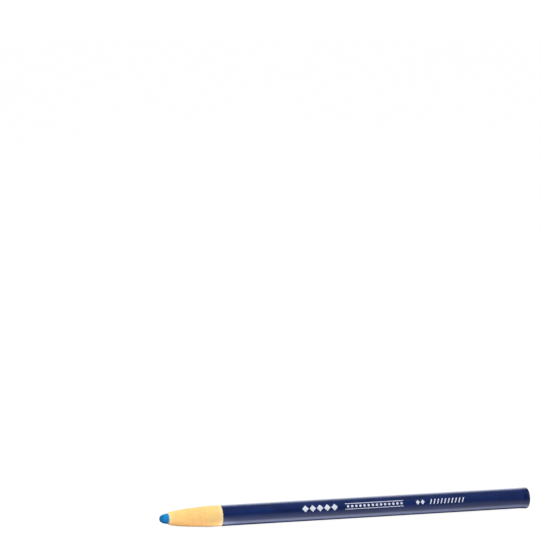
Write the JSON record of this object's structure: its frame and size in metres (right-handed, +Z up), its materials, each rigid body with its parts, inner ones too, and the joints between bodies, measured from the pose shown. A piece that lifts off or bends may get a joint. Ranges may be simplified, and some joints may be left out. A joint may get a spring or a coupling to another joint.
{
  "type": "china marker",
  "caption": "Wax marking rod in a wound paper wrap that peels off turn by turn, with a ground point, a lacquered label over a pull string, and a dipped rear end.",
  "frame": {"origin": "on the surface that the marker lies on, under the middle of its length", "axes": "+X along the marker from the wax point to the rear end, +Z up"},
  "size_m": [0.178, 0.0098, 0.0099],
  "materials": {
    "wax": "satin waxy blue rod",
    "wound_paper": "matte tan wound paper, ground to a point at the front",
    "thread": "natural waxed thread",
    "label": "gloss navy lacquer on paper, white foil marks",
    "end_lacquer": "gloss navy dipped lacquer"
  },
  "bodies": {
    "barrel": {"marking_core": "wax", "peel_ring_05": "wound_paper", "peel_ring_06": "wound_paper", "peel_ring_07": "wound_paper", "peel_ring_08": "wound_paper", "peel_ring_09": "wound_paper", "peel_ring_10": "wound_paper", "peel_ring_11": "wound_paper", "peel_ring_12": "wound_paper", "peel_ring_13": "wound_paper", "peel_ring_14": "wound_paper", "peel_ring_15": "wound_paper", "peel_ring_16": "wound_paper", "peel_ring_17": "wound_paper", "peel_ring_18": "wound_paper", "peel_ring_19": "wound_paper", "peel_ring_20": "wound_paper", "peel_ring_21": "wound_paper", "peel_ring_22": "wound_paper", "peel_ring_23": "wound_paper", "peel_ring_24": "wound_paper", "peel_ring_25": "wound_paper", "peel_ring_26": "wound_paper", "pull_string": "thread", "label_sleeve": "label", "end_dip": "end_lacquer"},
    "turn_4": {"peel_ring_04": "wound_paper"},
    "turn_3": {"peel_ring_03": "wound_paper"},
    "turn_2": {"peel_ring_02": "wound_paper"},
    "turn_1": {"peel_ring_01": "wound_paper"}
  },
  "joints": [
    {"name": "peel_off_4", "type": "slide", "parent": "barrel", "child": "turn_4", "axis": [-1, 0, 0], "range_m": [0, 0.02865]},
    {"name": "peel_off_3", "type": "slide", "parent": "turn_4", "child": "turn_3", "axis": [-1, 0, 0], "range_m": [0, 0.02165]},
    {"name": "peel_off_2", "type": "slide", "parent": "turn_3", "child": "turn_2", "axis": [-1, 0, 0], "range_m": [0, 0.01465]},
    {"name": "peel_off_1", "type": "slide", "parent": "turn_2", "child": "turn_1", "axis": [-1, 0, 0], "range_m": [0, 0.00765]}
  ]
}
